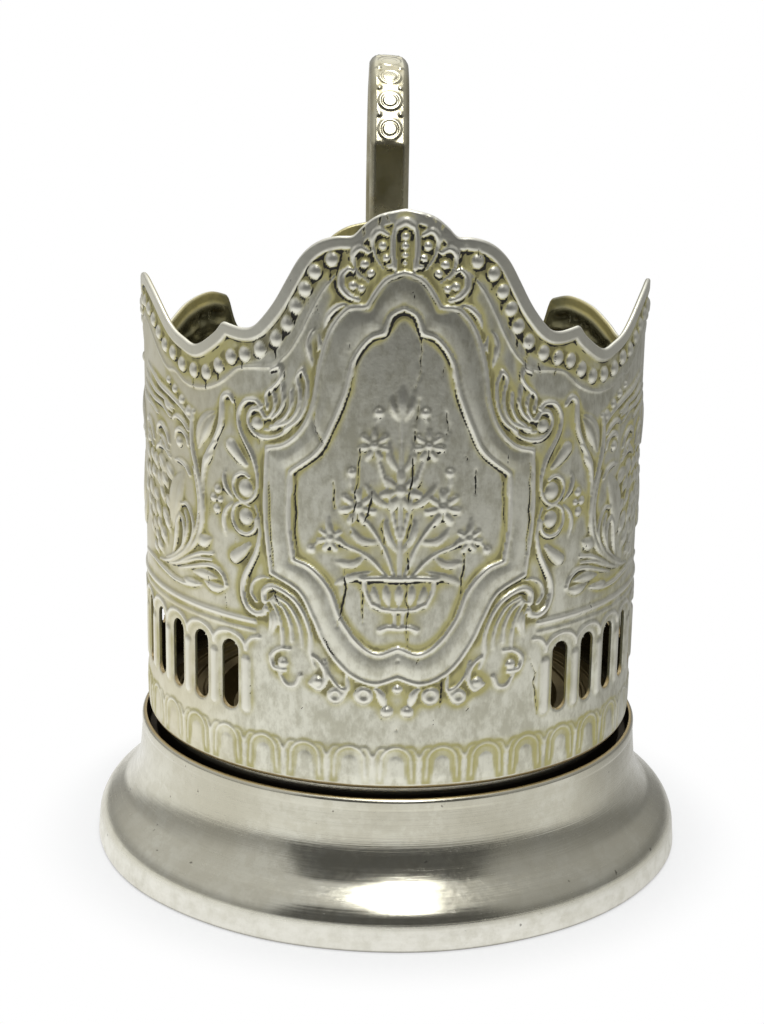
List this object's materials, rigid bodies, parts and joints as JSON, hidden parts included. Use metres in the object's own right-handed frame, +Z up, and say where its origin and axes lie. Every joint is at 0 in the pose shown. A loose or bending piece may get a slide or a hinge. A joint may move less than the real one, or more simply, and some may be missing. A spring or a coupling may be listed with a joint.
{
  "type": "tea glass holder",
  "caption": "Cylindrical embossed metal holder for a tea glass, with a scalloped rim, pierced arcades, a flared spun base and a tall strap handle at the back.",
  "frame": {"origin": "centre of the base's underside, on the table", "axes": "+Z up along the glass pocket's axis, cartouche facing -Y, handle at +Y"},
  "size_m": [0.084, 0.1091, 0.1094],
  "materials": {
    "silvered_sheet": "embossed silvery plating on brass, matt, with yellow-brown tarnish in the hollows",
    "satin_nickel": "spun and brushed nickel plating on brass, satin",
    "handle_nickel": "worn polished nickel plating with a yellow cast",
    "worn_brass": "dull brown brass with turned rings",
    "solder": "dull soft solder",
    "steel": "dull zinc-grey steel"
  },
  "bodies": {
    "root": {"body_shell": "silvered_sheet", "seam_solder": "solder", "floor_plate": "worn_brass", "base_skirt": "satin_nickel", "clamp_screw": "steel", "clamp_washer": "steel", "lock_washer": "steel", "clamp_nut": "steel", "upper_saddle": "handle_nickel", "upper_solder_bed": "solder", "lower_saddle": "handle_nickel", "lower_solder_bed": "solder", "handle_strap": "handle_nickel"}
  },
  "joints": []
}
